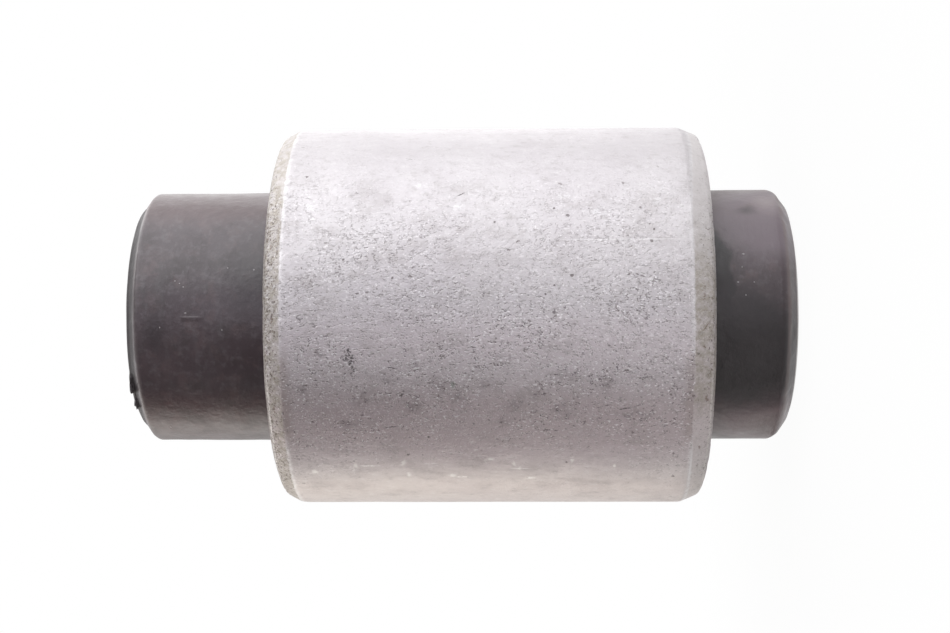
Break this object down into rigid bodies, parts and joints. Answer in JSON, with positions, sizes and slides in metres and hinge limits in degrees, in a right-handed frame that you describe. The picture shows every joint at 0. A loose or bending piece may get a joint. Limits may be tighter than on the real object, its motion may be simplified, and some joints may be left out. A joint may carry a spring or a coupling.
{
  "type": "rubber metal bush",
  "caption": "Bonded rubber-to-metal bush: short chamfered steel outer sleeve, rubber wall with protruding collars, and a longer steel inner sleeve with a plain bore.",
  "frame": {"origin": "centre of the bore at the lower end face, on the surface that the bush stands on", "axes": "+Z along the bush's axis, from the short collar to the long collar; X and Y are free, because the bush is round"},
  "size_m": [0.06, 0.06, 0.102],
  "materials": {
    "outer_steel": "satin pale grey, finely pitted, with a bright worn line at the chamfers",
    "moulded_rubber": "dull charcoal black, slightly dusty",
    "inner_steel": "satin, turned ends"
  },
  "bodies": {
    "root": {"outer_sleeve": "outer_steel", "rubber_body": "moulded_rubber", "inner_sleeve": "inner_steel"}
  },
  "joints": []
}
